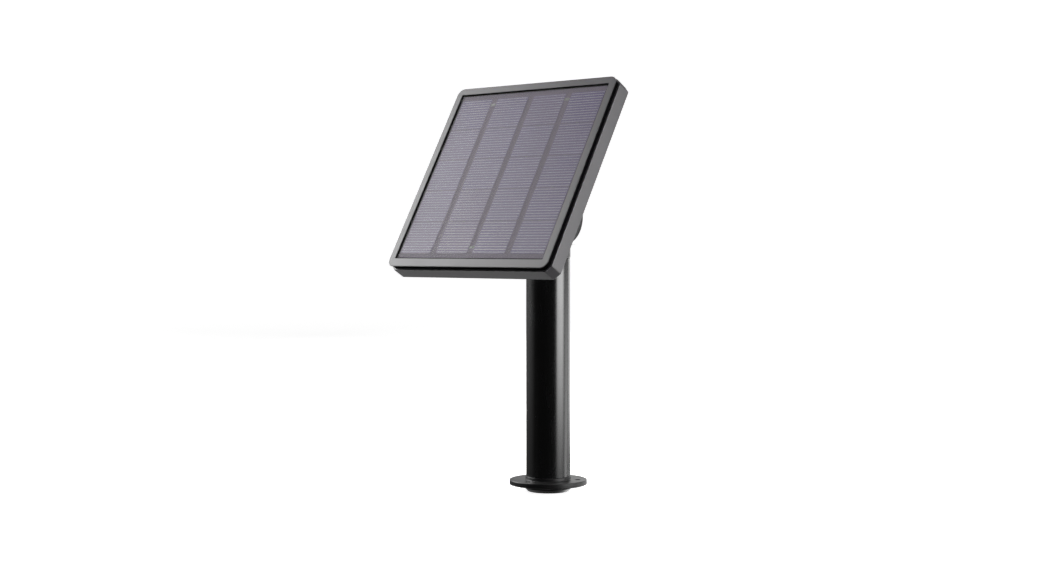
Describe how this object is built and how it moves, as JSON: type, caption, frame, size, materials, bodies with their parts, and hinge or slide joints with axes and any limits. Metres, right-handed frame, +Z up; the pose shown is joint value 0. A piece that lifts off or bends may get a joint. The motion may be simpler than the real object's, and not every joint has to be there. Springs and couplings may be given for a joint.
{
  "type": "solar panel post mount",
  "caption": "Square solar panel that powers a security camera, on a round post with a three-hole foot; the head turns on the post and a clamped hinge tilts the panel.",
  "frame": {"origin": "centre of the foot plate's lower mounting face, on the post's axis", "axes": "+Z up along the post, the panel faces -Y and leans back, the tilt hinge lies along X"},
  "size_m": [0.1886, 0.1468, 0.3666],
  "materials": {
    "foot_black": "satin black powder coat",
    "socket_black": "satin moulded",
    "post_black": "satin black powder coat",
    "zinc_steel": "zinc plated",
    "nylon_black": "satin moulded",
    "dark_steel": "black zinc",
    "glide_black": "satin acetal",
    "head_black": "satin black powder coat",
    "cap_black": "satin moulded",
    "knob_black": "fine moulded texture",
    "brass_insert": "machined",
    "bracket_black": "satin black powder coat",
    "friction_grey": "fibre filled",
    "shell_grey": "fine grained, gunmetal grey",
    "seal_black": "matt",
    "frame_grey": "fine grained, gunmetal grey",
    "bead_black": "satin sealant",
    "cover_clear": "satin clear film",
    "board_grey": "laminate",
    "ribbon_tin": "tinned copper",
    "pcb_green": "solder mask",
    "ferrite_dark": "ferrite",
    "capacitor_can": "bright can",
    "terminal_green": "moulded",
    "lead_red": "insulated wire",
    "lead_black": "insulated wire",
    "gland_black": "moulded nylon",
    "gland_rubber": "matt",
    "cell_silicon": "silicon with printed fingers"
  },
  "bodies": {
    "post": {"foot_plate": "foot_black", "post_hub": "foot_black", "spike_socket": "socket_black", "post_tube": "post_black", "post_lock_screw": "zinc_steel", "swivel_bush": "nylon_black", "swivel_bush_screws": "dark_steel", "swivel_glide_ring": "glide_black"},
    "head": {"head_yoke": "head_black", "swivel_keeper_washer": "zinc_steel", "swivel_keeper_screw": "zinc_steel", "hinge_bolt": "zinc_steel", "hinge_cap": "cap_black", "knob_washer": "zinc_steel"},
    "knob": {"clamp_knob": "knob_black", "knob_insert": "brass_insert"},
    "panel": {"panel_bracket": "bracket_black", "bracket_screws": "zinc_steel", "friction_discs": "friction_grey", "rear_shell": "shell_grey", "shell_screws": "dark_steel", "perimeter_seal": "seal_black", "front_frame": "frame_grey", "laminate_bead": "bead_black", "cover_sheet": "cover_clear", "cell_board": "board_grey", "tabbing_ribbons": "ribbon_tin", "regulator_board": "pcb_green", "regulator_inductor": "ferrite_dark", "regulator_capacitors": "capacitor_can", "regulator_terminal": "terminal_green", "regulator_screws": "zinc_steel", "lead_positive": "lead_red", "lead_negative": "lead_black", "gland_body": "gland_black", "gland_seal": "gland_rubber", "gland_cap": "gland_black", "gland_locknut": "gland_black", "solar_cell_r1_c1": "cell_silicon", "solar_cell_r1_c2": "cell_silicon", "solar_cell_r1_c3": "cell_silicon", "solar_cell_r1_c4": "cell_silicon", "solar_cell_r2_c1": "cell_silicon", "solar_cell_r2_c2": "cell_silicon", "solar_cell_r2_c3": "cell_silicon", "solar_cell_r2_c4": "cell_silicon", "solar_cell_r3_c1": "cell_silicon", "solar_cell_r3_c2": "cell_silicon", "solar_cell_r3_c3": "cell_silicon", "solar_cell_r3_c4": "cell_silicon", "solar_cell_r4_c1": "cell_silicon", "solar_cell_r4_c2": "cell_silicon", "solar_cell_r4_c3": "cell_silicon", "solar_cell_r4_c4": "cell_silicon", "solar_cell_r5_c1": "cell_silicon", "solar_cell_r5_c2": "cell_silicon", "solar_cell_r5_c3": "cell_silicon", "solar_cell_r5_c4": "cell_silicon"}
  },
  "joints": [
    {"name": "swivel", "type": "hinge", "parent": "post", "child": "head", "pos_m": [0, 0, 0.204], "axis": [0, 0, 1], "continuous": true},
    {"name": "tilt", "type": "hinge", "parent": "head", "child": "panel", "pos_m": [0, 0, 0.2415], "axis": [1, 0, 0], "range_deg": [-60, 30]},
    {"name": "knob_turn", "type": "hinge", "parent": "head", "child": "knob", "pos_m": [-0.0214, 0, 0.2415], "axis": [-1, 0, 0], "range_deg": [0, 540]}
  ]
}
